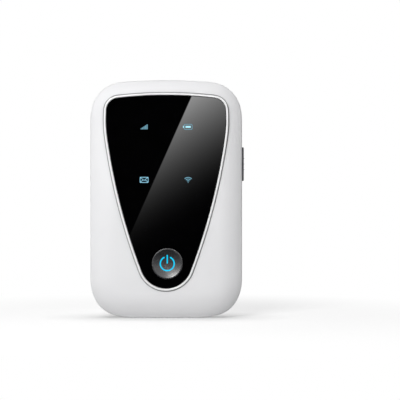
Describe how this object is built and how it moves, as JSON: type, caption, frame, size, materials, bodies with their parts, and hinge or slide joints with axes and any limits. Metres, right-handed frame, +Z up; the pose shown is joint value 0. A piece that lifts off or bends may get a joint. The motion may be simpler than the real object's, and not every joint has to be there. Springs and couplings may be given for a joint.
{
  "type": "mobile hotspot",
  "caption": "Pocket wireless hotspot standing upright: white pillow-shaped case, tapering black front panel with lit round power button, side key, pull-off back and battery.",
  "frame": {"origin": "on the base edge, in the middle of the case's width, near the middle of its thickness", "axes": "+Z up the case, +X across it to the side with the key, -Y out of the front panel, +Y out of the rear cover"},
  "size_m": [0.0634, 0.0147, 0.098],
  "materials": {
    "white_shell": "gloss moulded white",
    "white_rim": "gloss white",
    "black_lens": "polished black acrylic",
    "button_grey": "gloss dark grey",
    "key_grey": "fine moulded dark grey",
    "lit_cyan": "lit clear insert",
    "lit_blue": "lit print",
    "adhesive": "foam adhesive",
    "frame_white": "moulded pale grey",
    "board_green": "solder mask",
    "can_steel": "tinned sheet",
    "screw_steel": "plated",
    "contact_gold": "gold plated",
    "black_plastic": "moulded",
    "led_white": "diffusing",
    "battery_wrap": "printed film, bare"
  },
  "bodies": {
    "case": {"front_shell": "white_shell", "panel_bezel": "white_rim", "front_panel": "black_lens", "panel_tape": "adhesive", "light_wells": "frame_white", "status_leds": "led_white", "power_led": "led_white", "main_pcb": "board_green", "modem_can": "can_steel", "wifi_can": "can_steel", "main_aerial": "contact_gold", "diversity_aerial": "contact_gold", "wifi_aerial": "contact_gold", "usb_shell": "can_steel", "usb_tongue": "black_plastic", "power_switch": "black_plastic", "side_switch": "black_plastic", "mid_frame": "frame_white", "frame_screws": "screw_steel", "battery_connector": "black_plastic", "connector_blades": "contact_gold", "sim_socket": "can_steel", "signal_icon": "lit_blue", "battery_icon": "lit_blue", "charge_bar": "lit_blue", "message_icon": "lit_blue", "wifi_icon": "lit_blue"},
    "power_button": {"power_button": "button_grey", "power_symbol": "lit_cyan", "power_plunger": "black_plastic"},
    "side_key": {"side_key": "key_grey", "side_plunger": "black_plastic"},
    "battery": {"battery_pack": "battery_wrap", "battery_end_cap": "black_plastic", "battery_terminals": "contact_gold"},
    "rear_cover": {"rear_cover": "white_shell"}
  },
  "joints": [
    {"name": "power_button_press", "type": "slide", "parent": "case", "child": "power_button", "axis": [0, 1, 0], "range_m": [0, 0.00035], "stiffness_N_per_m": 1500},
    {"name": "side_key_press", "type": "slide", "parent": "case", "child": "side_key", "axis": [-1, 0, 0], "range_m": [0, 0.00035], "stiffness_N_per_m": 1500},
    {"name": "cover_pull", "type": "slide", "parent": "case", "child": "rear_cover", "axis": [0, 1, 0], "range_m": [0, 0.028]},
    {"name": "battery_lift", "type": "slide", "parent": "case", "child": "battery", "axis": [0, 1, 0], "range_m": [0, 0.014]}
  ],
  "couplings": [
    {"joint": "battery_lift", "follows": "cover_pull", "ratio": 0.5}
  ]
}
